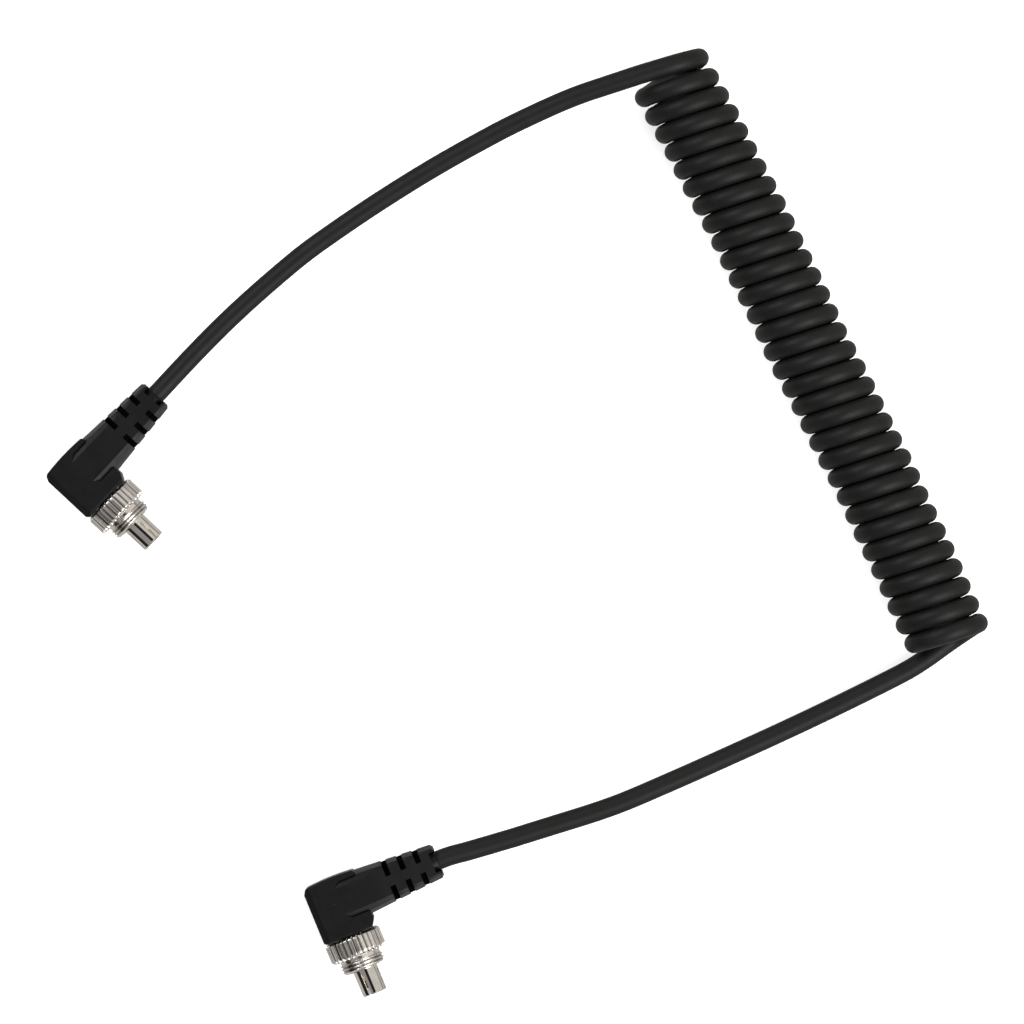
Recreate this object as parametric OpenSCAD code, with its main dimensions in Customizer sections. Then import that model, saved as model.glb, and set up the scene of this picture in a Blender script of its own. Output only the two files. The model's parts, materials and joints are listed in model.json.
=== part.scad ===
// Coiled flash sync cord with a right-angle screw-lock coaxial plug on each
// end. The cord lies flat: the coil runs along X, both leads head towards -Y,
// +Z is up and the plugs' undersides rest at Z = 0. Sizes in millimetres.

/* [Cable] */
// outside diameter of the jacket
cable_d = 2.72; // [2.4:0.02:2.8]
// wall of the jacket
jacket_wall = 0.40; // [0.3:0.05:0.45]
// outside diameter of the braided shield
shield_d = 1.88; // [1.8:0.02:1.88]
// thickness of the braid
shield_wall = 0.14; // [0.1:0.02:0.16]
// diameter of the stranded centre conductor
conductor_d = 0.50; // [0.4:0.05:0.6]
// gap kept between one layer and the next
layer_gap = 0.02; // [0.01:0.01:0.03]

/* [Coil] */
// outside diameter of the coil
coil_d = 12.04; // [11:0.1:13]
// advance for each turn
coil_pitch = 2.824; // [2.81:0.01:3.2]
// number of half turns
half_turns = 63; // [43:20:63]
// coil groups that move apart when the cord is stretched
coil_groups = 6; // [6:1:6]

/* [Leads] */
// lead A, coil to flex point: [bend radius, bend angle], left turns positive
lead_a1 = [[-148, 2.31], [64, 13.63], [264.7, 5.55]];
// lead A, flex point to plug
lead_a2 = [[80, 8.3], [213, 4.1]];
// lead B, coil to flex point
lead_b1 = [[-38.5, 7.82], [-515.1, 2.69]];
// lead B, flex point to plug
lead_b2 = [[-700, 1.25], [-98.5, 10.55], [46, 9.9]];
// straight stretches before and after each flex point
flex_straight = [1.0, 2.2];
// radius of the gentle vertical bends at both ends of a lead
ease_r = 60; // [40:5:80]
// largest swing at a flex point, degrees to the tighter side
flex_max = 60; // [30:5:60]

/* [Plug moulding] */
// thickness of the moulded head
head_t = 8.2; // [8.1:0.1:9]
// width of the moulded head
head_w = 7.8; // [7.6:0.1:8.4]
// elbow to the back of the head
head_back = 3.6; // [3.4:0.1:4.2]
// elbow to the front face of the head
head_front = 4.9; // [4.8:0.1:5.2]
// elbow to the cable end of the strain relief
boot_l = 15.2; // [14:0.1:18]
// width of the strain relief where it meets the head
boot_w0 = 6.5; // [6.2:0.1:6.8]
// width of the strain relief at its cable end
boot_w1 = 4.96; // [4.6:0.02:5.4]
// distance from the elbow to the first row of slots
slot_y = 8.05; // [7.6:0.05:8.6]
// spacing of the slot rows
slot_pitch = 2.27; // [2.0:0.01:2.4]
// width of each strain relief slot
slot_w = 0.80; // [0.6:0.05:1.0]
// width of the notch at the mouth of the strain relief
mouth_w = 2.9; // [2.8:0.05:3.2]
// depth of that notch along the cable
mouth_l = 0.9; // [0.5:0.1:1.2]
// width of the web left between a pair of slots
web_w = 1.5; // [1.2:0.1:2.0]
// width of the flat top of the strain relief
flat_w = 3.84; // [3.4:0.02:4.2]
// width of the light-catching bevel on each side of the flat top
bevel_w = 0.80; // [0.5:0.05:1.0]
// thickness of the strain relief at its cable end
boot_t1 = 4.90; // [4.4:0.1:5.4]
// height of the rib that runs through the slots on each side
rib_t = 2.4; // [2.0:0.1:2.8]

/* [Lock ring] */
// outside diameter of the knurled ring
ring_d = 8.1; // [7.4:0.1:8.1]
// length of the knurled part
ring_l = 2.95; // [2.6:0.05:3.4]
// number of knurl grooves
knurl_n = 32; // [20:1:40]
// outside diameter of the lock thread
thread_d = 6.24; // [6.0:0.02:6.6]
// pitch of the lock thread
thread_pitch = 0.5; // [0.4:0.05:0.6]
// length of the nose in front of the knurl
nose_l = 1.95; // [1.9:0.05:2.4]
// axial float of the ring on its stem
ring_float = 0.6; // [0.3:0.1:0.6]
// running clearance of the ring on its stem, on the radius
run_gap = 0.05; // [0.02:0.01:0.08]

/* [Contact] */
// outside diameter of the contact barrel
barrel_d = 3.5; // [3.4:0.02:3.6]
// length of barrel in front of the lock ring
barrel_l = 3.8; // [3.4:0.1:4.2]
// width of the four spring slots
spring_slot = 0.30; // [0.2:0.05:0.4]
// diameter of the centre contact pin
pin_d = 1.0; // [0.8:0.1:1.1]
// turn of the spring slots about the barrel of plug A
slot_turn_a = 66; // [0:1:89]
// turn of the spring slots about the barrel of plug B
slot_turn_b = 22.5; // [0:0.5:89]

/* [Placement] */
// X and Y of the middle of the coil
coil_mid = [-2.136, 48.623];

/* [Hidden] */
$fn = 64;

// Colours
jacket_color = [0.16, 0.16, 0.165];
shield_color = [0.72, 0.47, 0.30];
dielectric_color = [0.92, 0.92, 0.88];
conductor_color = [0.80, 0.50, 0.28];
mould_color = [0.11, 0.115, 0.13];
core_color = [0.35, 0.35, 0.36];
nickel_color = [0.78, 0.76, 0.72];
gold_color = [0.83, 0.68, 0.36];
clip_color = [0.6, 0.6, 0.62];
solder_color = [0.7, 0.7, 0.72];

// Cable layers
JACKET = 0;
SHIELD = 1;
DIELECTRIC = 2;
CONDUCTOR = 3;
cable_r = cable_d/2;
// [outer radius, inner radius, colour, distance from the elbow where it is stripped back]
layers = [
  [cable_r, cable_r - jacket_wall, jacket_color, 6.0],
  [shield_d/2, shield_d/2 - shield_wall, shield_color, 3.5],
  [shield_d/2 - shield_wall - layer_gap, conductor_d/2 + layer_gap, dielectric_color, 1.6],
  [conductor_d/2, 0, conductor_color, -0.45]];

// Helpers
UP = [0, 0, 1];
function unit(v) = v/norm(v);
function heading(angle) = [cos(angle), sin(angle), 0];
function span(width, middle = 0) = [middle - width/2, middle + width/2];

// box from its X, Y and Z spans, grown on every side
module box(spans, grow = 0) {
  translate([for (s = spans) s[0] - grow])
    cube([for (s = spans) s[1] - s[0] + 2*grow]);
}

// put the X, Y, Z axes of the children along x, y, z with their origin at origin
module axes(origin, x, y, z) {
  multmatrix([
    [x[0], y[0], z[0], origin[0]],
    [x[1], y[1], z[1], origin[1]],
    [x[2], y[2], z[2], origin[2]],
    [0, 0, 0, 1]]) children();
}

// spin a profile of [distance along X, radius] points about the X axis
module along_x() {
  rotate([0, 90, 0]) rotate([0, 0, 180]) rotate_extrude(angle = 360)
    rotate([0, 0, 90]) mirror([0, 1]) children();
}

// cylinder from the origin along X
module rod_x(length, radius) {
  rotate([0, 90, 0]) cylinder(h = length, r = radius);
}

// cylinder from the origin along Y
module rod_y(length, radius) {
  rotate([-90, 0, 0]) cylinder(h = length, r = radius);
}

// Cable path. A piece is [start, direction, direction to the bend centre, bend radius, bend
// angle]; a straight piece has any normal, radius 0 and its length in place of the angle.
START = 0;
ALONG = 1;
INWARD = 2;
RADIUS = 3;
SWEEP = 4;
bend_gap = 0.001;  // cut off both ends of a piece, so that every bend is a separate clean solid

// [point, direction] at the end of a piece
function piece_end(piece) =
  let (start = piece[START], along = piece[ALONG], inward = piece[INWARD],
       radius = piece[RADIUS], sweep = piece[SWEEP])
  radius == 0 ? [start + along*sweep, along] :
  [start + radius*(along*sin(sweep) + inward*(1 - cos(sweep))),
   along*cos(sweep) + inward*sin(sweep)];
function path_end(path) = piece_end(path[len(path) - 1]);

// Coil
coil_r = coil_d/2 - cable_r;             // radius of the wire's centre line
quarter_pitch = coil_pitch/4;
turn_r = norm([coil_r, quarter_pitch]);  // radius of each tilted half turn
coil_z = turn_r + cable_r;               // height of the coil axis
tilt = atan(quarter_pitch/coil_r);
coil_x0 = coil_mid[0] - half_turns*quarter_pitch;
coil_x1 = coil_mid[0] + half_turns*quarter_pitch;

// half turn k of the coil: 0 and half_turns are the quarter turns at the ends
function coil_piece(k) =
  k == 0 ?
  [[coil_x0, coil_mid[1], coil_z + turn_r], unit([quarter_pitch, coil_r, 0]), -UP, turn_r, 90] :
  let (side = k % 2 == 0 ? -1 : 1)
  [[coil_x0 + (2*k - 1)*quarter_pitch, coil_mid[1] + side*coil_r, coil_z],
   -side*UP, unit([quarter_pitch, -side*coil_r, 0]), turn_r, k == half_turns ? 90 : 180];

// first half turn of a coil group; groups count from 1
function group_start(group) =
  group <= 1 ? 0 :
  group > coil_groups ? half_turns + 1 :
  round((group - 1.5)/(coil_groups - 1)*half_turns - 0.5) + 1;

// Leads. A bend is [radius, angle], left turns positive; [0, length] is a straight stretch.
function bend_turn(bend) = sign(bend[0])*bend[1];
function total_turn(bends, i = 0) =
  i >= len(bends) ? 0 : bend_turn(bends[i]) + total_turn(bends, i + 1);

// distance the bends cover along their first direction
function advance(bends, i = 0, turn = 0) =
  i >= len(bends) ? 0 :
  bends[i][0] == 0 ? bends[i][1]*cos(turn) + advance(bends, i + 1, turn) :
  let (next = turn + bend_turn(bends[i]))
  bends[i][0]*(sin(next) - sin(turn)) + advance(bends, i + 1, next);

// slope that takes a lead through a height, found by repeated refinement
function slope(height, reach, turn, steps = 12, guess = 3) =
  steps == 0 ? guess :
  let (far = asin(sin(guess)*cos(turn)))
  slope(height, reach, turn, steps - 1,
    asin((height - ease_r*(2 - cos(guess) - cos(far)))/reach));

// path pieces of the bends, in the plane with the given normal
function bend_pieces(start, along, normal, bends, i = 0) =
  i >= len(bends) ? [] :
  let (radius = bends[i][0],
       inward = (radius < 0 ? -1 : 1)*cross(normal, along),
       piece = [start, along, inward, abs(radius), bends[i][1]],
       end = piece_end(piece))
  concat([piece], bend_pieces(end[0], end[1], normal, bends, i + 1));

// lead that rises or falls to end_z, with a vertical bend at each end
function lead(start, along, end_z, bends) =
  let (down = start[2] > end_z ? 1 : -1,
       angle = slope(abs(start[2] - end_z), advance(bends), total_turn(bends)),
       first = [start, along, -down*UP, ease_r, angle],
       first_end = piece_end(first),
       normal = cross(first_end[1], cross(UP, along)),
       middle = bend_pieces(first_end[0], first_end[1], normal, bends),
       middle_end = path_end(middle),
       last_along = middle_end[1],
       inward = down*unit(UP - last_along[2]*last_along),
       last = [middle_end[0], last_along, inward, ease_r, asin(abs(last_along[2]))])
  concat([first], middle, [last]);

plug_z = head_t/2;
flex_stretch = [for (length = flex_straight) [0, length]];
path_a = lead([coil_x0, coil_mid[1], coil_z + turn_r], heading(270 - tilt), plug_z,
  concat(lead_a1, flex_stretch, lead_a2));
path_b = lead([coil_x1, coil_mid[1], cable_r], heading(270 + tilt), plug_z,
  concat(lead_b1, flex_stretch, lead_b2));
flex_a = len(lead_a1) + 1;  // index of the piece that ends at the flex point
flex_b = len(lead_b1) + 1;

module wire_section(layer) {
  difference() {
    circle(layers[layer][0], $fn = 48);
    if (layers[layer][1] > 0) circle(layers[layer][1], $fn = 48);
  }
}

// put the children's Z axis along a piece, from its start
module on_piece(piece) {
  axes(piece[START], piece[INWARD], cross(piece[ALONG], piece[INWARD]), piece[ALONG])
    children();
}

// one piece of a cable layer, cut back by gap at both ends
module path_piece(piece, layer, gap = bend_gap) {
  inward = piece[INWARD];
  radius = piece[RADIUS];
  if (radius == 0)
    on_piece(piece) translate([0, 0, gap])
      linear_extrude(piece[SWEEP] - 2*gap) wire_section(layer);
  else
    let (gap_angle = gap/radius*180/PI)
      axes(piece[START] + radius*inward, -inward, piece[ALONG], cross(piece[ALONG], inward))
        rotate([0, 0, gap_angle])
          rotate_extrude(angle = piece[SWEEP] - 2*gap_angle, $fn = 96)
            translate([radius, 0]) wire_section(layer);
}

// coil side of a lead; its jacket ends in a ball at the flex point
module lead_inner(path, flex, layer) {
  piece = path[flex];
  outer = layers[layer][0];
  inner = layers[layer][1];
  for (i = [0 : flex - 1]) path_piece(path[i], layer);
  if (layer == JACKET)
    on_piece(piece) rotate_extrude(angle = 360) {
      translate([inner, bend_gap]) square([outer - inner, piece[SWEEP] - bend_gap]);
      translate([0, piece[SWEEP]]) intersection() {
        circle(outer);
        square(outer + 1);
      }
    }
  else path_piece(piece, layer);
}

// plug side of a lead; its jacket starts in a socket round that ball
module lead_outer(path, flex, layer) {
  piece = path[flex + 1];
  outer = layers[layer][0];
  inner = layers[layer][1];
  clear = layer == JACKET ? cable_r*tan(flex_max/2) + 0.03 : cable_r + 0.1;
  socket_r = cable_r + 0.04;
  end = path_end(path);
  on_piece(piece) rotate_extrude(angle = 360) difference() {
    translate([inner, clear]) square([outer - inner, piece[SWEEP] - clear - bend_gap]);
    circle(socket_r);
  }
  for (i = [flex + 2 : len(path) - 1]) path_piece(path[i], layer);
  // straight run inside the plug
  path_piece([end[0], end[1], cross(UP, end[1]), 0, boot_l - layers[layer][3]], layer, gap = 0);
}

module layer_color(layer) { color(layers[layer][2]) children(); }

// one layer of a coil group; the end groups carry the coil side of their lead
module section(group, layer) {
  layer_color(layer) {
    for (k = [group_start(group) : group_start(group + 1) - 1])
      path_piece(coil_piece(k), layer);
    if (group == 1) lead_inner(path_a, flex_a, layer);
    if (group == coil_groups) lead_inner(path_b, flex_b, layer);
  }
}

module lead_a(layer) { layer_color(layer) lead_outer(path_a, flex_a, layer); }
module lead_b(layer) { layer_color(layer) lead_outer(path_b, flex_b, layer); }

// Plug. Parts are drawn about the elbow, barrel along +X and cable along +Y.
fit_gap = 0.02;                        // between plug parts
solder_gap = 0.01;                     // between solder and what it joins
core_spans = [[-2.5, 3.9], [-2.9, 3.1], [-2.9, 2.9]];  // inner mould
half_w = head_w/2;
half_t = head_t/2;
boot_chamfer = 0.35;                   // at the cable end of the strain relief
ring_x = head_front + 0.15;            // back face of the lock ring
nose_x = ring_x + ring_l;
tip_x = nose_x + nose_l;               // front face of the nose
stem_r = 2.2;
stem_end = tip_x + 0.1;                // the stem shows as a thin collar in front of the nose
bore_r = barrel_d/2 - 0.3;
flange_r = 2.7;                        // flange at the back of the contact barrel
flange_end = 3.2;
clip_x = ring_x + 1.2;
clip_w = 0.5;
clip_end = clip_x + clip_w;
clip_r = stem_r + 0.45;
pin_x = 0.3;                           // back end of the centre pin
lug_x = 2.0;                           // back face of the lug's disc
lug_t = 0.2;
lug_w = 1.0;                           // width of the lug's leg
lug_room_w = lug_w + 0.24;
lug_tail_x = 1.3;                      // side of the leg's tail that faces the cable
lug_step_y = 3.2;                      // where the leg steps back to its tail
flange_x = lug_x + lug_t + fit_gap;
ferrule_r = 1.28;

// put a plug part on the elbow at the end of a lead
module on_plug(path) {
  end = path_end(path);
  along = end[1];
  translate(end[0] + boot_l*along) rotate([0, 0, atan2(along[1], along[0]) + 90]) children();
}

module head_solid() {
  closed_bevel = 0.9;  // over the closed end, at -Y
  back_bevel = 0.35;
  front_bevel = 0.3;
  side_bevel = 0.25;
  back_r = 30;         // the back is slightly rounded
  intersection() {
    // outline from above
    translate([0, 0, -half_t]) linear_extrude(head_t) polygon([
      [-head_back, -half_w + 1.0], [-head_back + 0.35, -half_w + 0.35],
      [-head_back + 1.0, -half_w], [head_front - 0.3, -half_w],
      [head_front, -half_w + 0.3], [head_front, half_w - 0.6],
      [head_front - 1.0, half_w], [-head_back + 0.8, half_w],
      [-head_back + 0.25, half_w - 0.25], [-head_back, half_w - 0.8]]);
    translate([back_r, 0, -head_t]) cylinder(h = 2*head_t, r = back_r + head_back, $fn = 256);
    // outline along X
    rotate([90, 0, 90]) translate([0, 0, -head_back - 1])
      linear_extrude(head_back + head_front + 2) polygon([
        [-half_w + closed_bevel, -half_t], [half_w - side_bevel, -half_t],
        [half_w, -half_t + side_bevel], [half_w, half_t - side_bevel],
        [half_w - side_bevel, half_t], [-half_w + closed_bevel, half_t],
        [-half_w, half_t - closed_bevel], [-half_w, -half_t + closed_bevel]]);
    // outline along Y
    rotate([90, 0, 0]) translate([0, 0, -head_w]) linear_extrude(2*head_w) polygon([
      [-head_back + back_bevel, -half_t], [head_front - front_bevel, -half_t],
      [head_front, -half_t + front_bevel], [head_front, half_t - front_bevel],
      [head_front - front_bevel, half_t], [-head_back + back_bevel, half_t],
      [-head_back, half_t - back_bevel], [-head_back, -half_t + back_bevel]]);
  }
}

// size at y of the strain relief, constant to the head's edge, then shrinking to the cable end
function shrink(at_head, at_end, y) =
  at_head + (at_end - at_head)*(y - half_w)/(boot_l - boot_chamfer - half_w);

// wedge with these half widths at the head and the cable end, turned about the cable axis
module taper(at_head, at_end, turn) {
  y0 = 1;
  y1 = boot_l - boot_chamfer;
  tip = at_end - boot_chamfer;
  rotate([0, turn, 0]) translate([0, 0, -6]) linear_extrude(12) polygon([
    [-at_head, y0], [-at_head, half_w], [-at_end, y1], [-tip, boot_l],
    [tip, boot_l], [at_end, y1], [at_head, half_w], [at_head, y0]]);
}

// distance from the cable axis of a flank through [x, z], whose normal rises by rise
function flank(x, z, rise) = x*cos(rise) + z*sin(rise);

module boot_solid() {
  flat = flat_w/2;
  ratio = boot_w1/boot_w0;
  bevel_head = flank(flat, half_t, 45);
  bevel_end = flank(flat*0.9, boot_t1/2, 45);
  side_head = flank(flat + bevel_w, half_t - bevel_w, 20);
  side_end = flank((flat + bevel_w)*ratio, boot_t1/2 - bevel_w*ratio, 20);
  intersection() {
    taper(boot_w0/2, boot_w1/2, 0);
    taper(half_t, boot_t1/2, 90);
    taper(bevel_head, bevel_end, 45);
    taper(bevel_head, bevel_end, -45);
    taper(side_head, side_end, 20);
    taper(side_head, side_end, -20);
  }
}

// the bevels of the strain relief run on into the head as a shallow groove on each side
module bevel_grooves() {
  flat = flat_w/2;
  edge = flat + bevel_w;
  for (sx = [0, 1], sz = [0, 1]) mirror([sx, 0, 0]) mirror([0, 0, sz]) intersection() {
    rotate([90, 0, 0]) translate([0, 0, -half_w - 0.6]) linear_extrude(half_w + 1)
      polygon([[flat - 0.5, half_t + 0.5], [edge, half_t - bevel_w], [edge, half_t + 0.5]]);
    translate([0, 0, 1]) linear_extrude(6) polygon([
      [flat - 0.5, -0.25], [edge + 0.1, 1.4],
      [edge + 0.1, half_w + 0.5], [flat - 0.5, half_w + 0.5]]);
  }
}

module overmould() {
  slot_rows = 3;
  rib_inset = 0.13;
  sleeve_wall = 0.5;
  difference() {
    union() {
      head_solid();
      boot_solid();
    }
    bevel_grooves();
    // slots: the web, a rib along each side and a sleeve round the cable stay
    for (i = [0 : slot_rows - 1])
      let (y = slot_y + i*slot_pitch, rib_w = shrink(boot_w0, boot_w1, y) - 2*rib_inset)
        difference() {
          box([span(10), span(slot_w, y), span(10)]);
          box([span(web_w), [0, boot_l], span(12)]);
          box([span(rib_w), [0, boot_l], span(rib_t)]);
          rod_y(boot_l, cable_r + sleeve_wall);
        }
    // notch across the mouth that leaves a lobe on each side
    box([span(mouth_w), [boot_l - mouth_l, boot_l + 1], span(12)]);
    rod_y(boot_l + 1, cable_r + layer_gap);
    // seats of the inner mould, the contact stem and the ground lug's leg
    box(core_spans, grow = layer_gap);
    rod_x(6, stem_r + layer_gap);
    box([[0.4, 2.25], [3, 5.3], span(lug_room_w)]);
  }
}

module inner_mould() {
  seat_x = lug_x - fit_gap;
  difference() {
    box(core_spans);
    // room for the soldered pin tail and the stripped cable
    box([[-1.7, 1.6], [-1.6, 3.9], span(3.2)]);
    rod_x(6, stem_r + layer_gap);
    // seats of the barrel's flange with the lug's disc, and of the lug's leg
    translate([seat_x, 0, 0]) rod_x(flange_end + fit_gap - seat_x, flange_r + fit_gap);
    box([[lug_tail_x + lug_t, flange_x], [0, 4], span(lug_room_w)]);
  }
}

module contact_barrel(slot_turn) {
  chamfer = 0.15;
  end_x = tip_x + barrel_l;
  // groove for the retaining clip, long enough for the ring to float
  groove_r = stem_r - 0.35;
  groove_x0 = clip_x - 0.05;
  groove_x1 = clip_end + ring_float + 0.05;
  difference() {
    along_x() polygon([
      [flange_x, bore_r], [flange_x, flange_r], [flange_end, flange_r], [flange_end, stem_r],
      [groove_x0, stem_r], [groove_x0, groove_r], [groove_x1, groove_r], [groove_x1, stem_r],
      [stem_end, stem_r], [stem_end, barrel_d/2],
      [end_x - chamfer, barrel_d/2], [end_x, barrel_d/2 - chamfer], [end_x, bore_r]]);
    for (turn = [0, 90, 180, 270]) rotate([slot_turn + turn, 0, 0])
      translate([tip_x + 0.65, -spring_slot/2, 0]) cube([barrel_l, spring_slot, barrel_d]);
  }
}

module barrel_insulator() {
  x0 = 1.3;
  x1 = tip_x + 0.3;
  inner = pin_d/2 + fit_gap;
  outer = bore_r - fit_gap;
  along_x() polygon([[x0, inner], [x0, outer], [x1, outer], [x1, inner]]);
}

module centre_pin() {
  end_x = tip_x + barrel_l - 0.6;
  along_x() polygon([
    [pin_x, 0], [pin_x, pin_d/2], [end_x - 0.35, pin_d/2], [end_x, 0.2], [end_x, 0]]);
}

module lock_ring() {
  outer = ring_d/2;
  bore = stem_r + run_gap;
  crest = thread_d/2;
  root = crest - 0.25;
  chamfer = 0.25;
  seat_r = bore + 0.42;   // groove in the bore for the retaining clip
  seat_x0 = clip_x - fit_gap;
  seat_x1 = clip_end + fit_gap;
  knurl_cut = 0.52;       // side of the square bar that cuts a knurl groove
  // one thread ridge: [X from its middle, radius]
  ridge = [[-0.12, root], [-0.06, crest], [0.06, crest], [0.12, root]];
  difference() {
    along_x() polygon(concat(
      [[ring_x, bore], [ring_x, outer - chamfer], [ring_x + chamfer, outer],
       [nose_x - chamfer, outer], [nose_x, outer - chamfer],
       [nose_x, root], [nose_x + 0.6, root]],
      [for (i = [0 : 2], point = ridge) [nose_x + 0.75 + i*thread_pitch + point[0], point[1]]],
      [[tip_x, root], [tip_x, bore],
       [seat_x1, bore], [seat_x1, seat_r], [seat_x0, seat_r], [seat_x0, bore]]));
    for (i = [0 : knurl_n - 1]) rotate([i*360/knurl_n, 0, 0])
      translate([ring_x - 1, 0, outer]) rotate([45, 0, 0])
        box([[0, ring_l + 1.99], span(knurl_cut), span(knurl_cut)]);
  }
}

// open ring, with its opening turned about X
module retaining_clip() {
  inner = stem_r - 0.3;
  difference() {
    along_x() polygon([[clip_x, inner], [clip_x, clip_r], [clip_end, clip_r], [clip_end, inner]]);
    rotate([200, 0, 0]) box([[0, 12], span(2), [0, 5]]);
  }
}

// disc with a stepped leg that reaches back beside the cable
module ground_lug() {
  step_end = lug_step_y + lug_t;
  difference() {
    union() {
      translate([lug_x, 0, 0]) rod_x(lug_t, 2.6);
      box([[lug_x, lug_x + lug_t], [0, step_end], span(lug_w)]);
      box([[lug_tail_x, lug_x + lug_t], [lug_step_y, step_end], span(lug_w)]);
      box([[lug_tail_x, lug_tail_x + lug_t], [lug_step_y, 5.2], span(lug_w)]);
    }
    rod_x(6, bore_r + fit_gap);
  }
}

module crimp_ferrule() {
  inner = shield_d/2 + fit_gap;
  length = 2.3;
  // a shallow groove runs round the middle
  translate([0, 3.62, 0]) rotate([-90, 0, 0]) rotate_extrude(angle = 360) polygon([
    [inner, 0], [ferrule_r, 0], [ferrule_r, 1.0], [1.2, 1.15],
    [ferrule_r, 1.3], [ferrule_r, length], [inner, length]]);
}

module pin_solder() {
  end_x = 1.22;
  difference() {
    along_x() polygon([
      [-0.6, 0], [-0.6, 0.4], [-0.3, 0.75], [0.75, 0.75], [end_x, pin_d/2 + 0.1],
      [end_x, pin_d/2 + solder_gap], [pin_x - solder_gap, pin_d/2 + solder_gap],
      [pin_x - solder_gap, 0]]);
    translate([0, -2, 0]) rod_y(4, conductor_d/2 + solder_gap);
  }
}

// what is left of a ball outside the lug's tail
module lug_solder() {
  difference() {
    translate([1.45, 4.4, 0]) sphere(0.6);
    box([[lug_tail_x - solder_gap, lug_tail_x + lug_t + solder_gap], [3, 6], span(4)]);
    box([[-1, lug_tail_x], [3, 6], span(4)]);
    translate([0, 3, 0]) rod_y(4, ferrule_r + solder_gap);
  }
}

// Nodes
module jacket_lead_a() { lead_a(JACKET); }
module jacket_1() { section(1, JACKET); }
module jacket_2() { section(2, JACKET); }
module jacket_3() { section(3, JACKET); }
module jacket_4() { section(4, JACKET); }
module jacket_5() { section(5, JACKET); }
module jacket_6() { section(6, JACKET); }
module jacket_lead_b() { lead_b(JACKET); }
module shield_lead_a() { lead_a(SHIELD); }
module shield_1() { section(1, SHIELD); }
module shield_2() { section(2, SHIELD); }
module shield_3() { section(3, SHIELD); }
module shield_4() { section(4, SHIELD); }
module shield_5() { section(5, SHIELD); }
module shield_6() { section(6, SHIELD); }
module shield_lead_b() { lead_b(SHIELD); }
module dielectric_lead_a() { lead_a(DIELECTRIC); }
module dielectric_1() { section(1, DIELECTRIC); }
module dielectric_2() { section(2, DIELECTRIC); }
module dielectric_3() { section(3, DIELECTRIC); }
module dielectric_4() { section(4, DIELECTRIC); }
module dielectric_5() { section(5, DIELECTRIC); }
module dielectric_6() { section(6, DIELECTRIC); }
module dielectric_lead_b() { lead_b(DIELECTRIC); }
module conductor_lead_a() { lead_a(CONDUCTOR); }
module conductor_1() { section(1, CONDUCTOR); }
module conductor_2() { section(2, CONDUCTOR); }
module conductor_3() { section(3, CONDUCTOR); }
module conductor_4() { section(4, CONDUCTOR); }
module conductor_5() { section(5, CONDUCTOR); }
module conductor_6() { section(6, CONDUCTOR); }
module conductor_lead_b() { lead_b(CONDUCTOR); }

module overmould_a() { color(mould_color) on_plug(path_a) overmould(); }
module inner_mould_a() { color(core_color) on_plug(path_a) inner_mould(); }
module contact_barrel_a() { color(nickel_color) on_plug(path_a) contact_barrel(slot_turn_a); }
module barrel_insulator_a() { color(dielectric_color) on_plug(path_a) barrel_insulator(); }
module centre_pin_a() { color(gold_color) on_plug(path_a) centre_pin(); }
module lock_ring_a() { color(nickel_color) on_plug(path_a) lock_ring(); }
module retaining_clip_a() { color(clip_color) on_plug(path_a) retaining_clip(); }
module ground_lug_a() { color(gold_color) on_plug(path_a) ground_lug(); }
module crimp_ferrule_a() { color(nickel_color) on_plug(path_a) crimp_ferrule(); }
module pin_solder_a() { color(solder_color) on_plug(path_a) pin_solder(); }
module lug_solder_a() { color(solder_color) on_plug(path_a) lug_solder(); }

module overmould_b() { color(mould_color) on_plug(path_b) overmould(); }
module inner_mould_b() { color(core_color) on_plug(path_b) inner_mould(); }
module contact_barrel_b() { color(nickel_color) on_plug(path_b) contact_barrel(slot_turn_b); }
module barrel_insulator_b() { color(dielectric_color) on_plug(path_b) barrel_insulator(); }
module centre_pin_b() { color(gold_color) on_plug(path_b) centre_pin(); }
module lock_ring_b() { color(nickel_color) on_plug(path_b) lock_ring(); }
module retaining_clip_b() { color(clip_color) on_plug(path_b) retaining_clip(); }
module ground_lug_b() { color(gold_color) on_plug(path_b) ground_lug(); }
module crimp_ferrule_b() { color(nickel_color) on_plug(path_b) crimp_ferrule(); }
module pin_solder_b() { color(solder_color) on_plug(path_b) pin_solder(); }
module lug_solder_b() { color(solder_color) on_plug(path_b) lug_solder(); }

jacket_lead_a();
jacket_1();
jacket_2();
jacket_3();
jacket_4();
jacket_5();
jacket_6();
jacket_lead_b();
shield_lead_a();
shield_1();
shield_2();
shield_3();
shield_4();
shield_5();
shield_6();
shield_lead_b();
dielectric_lead_a();
dielectric_1();
dielectric_2();
dielectric_3();
dielectric_4();
dielectric_5();
dielectric_6();
dielectric_lead_b();
conductor_lead_a();
conductor_1();
conductor_2();
conductor_3();
conductor_4();
conductor_5();
conductor_6();
conductor_lead_b();
overmould_a();
inner_mould_a();
contact_barrel_a();
barrel_insulator_a();
centre_pin_a();
lock_ring_a();
retaining_clip_a();
ground_lug_a();
crimp_ferrule_a();
pin_solder_a();
lug_solder_a();
overmould_b();
inner_mould_b();
contact_barrel_b();
barrel_insulator_b();
centre_pin_b();
lock_ring_b();
retaining_clip_b();
ground_lug_b();
crimp_ferrule_b();
pin_solder_b();
lug_solder_b();
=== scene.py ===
"""A coiled cable with an angled plug at each end, lying on a lit table.

The coil runs along X and rests on z = 0. A lead bends from each end of it to a
plug: lead A from the low-x end, lead B from the high-x end. In a plug's own
frame the elbow is the origin, the lock ring and barrel lie along +X and the
cable leaves along +Y. Sizes are in mm; meshes are scaled to metres when made.
"""

import json
import math
import random
from contextlib import contextmanager

import bmesh
import bpy
import numpy as np
from mathutils import Matrix, Vector


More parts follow.
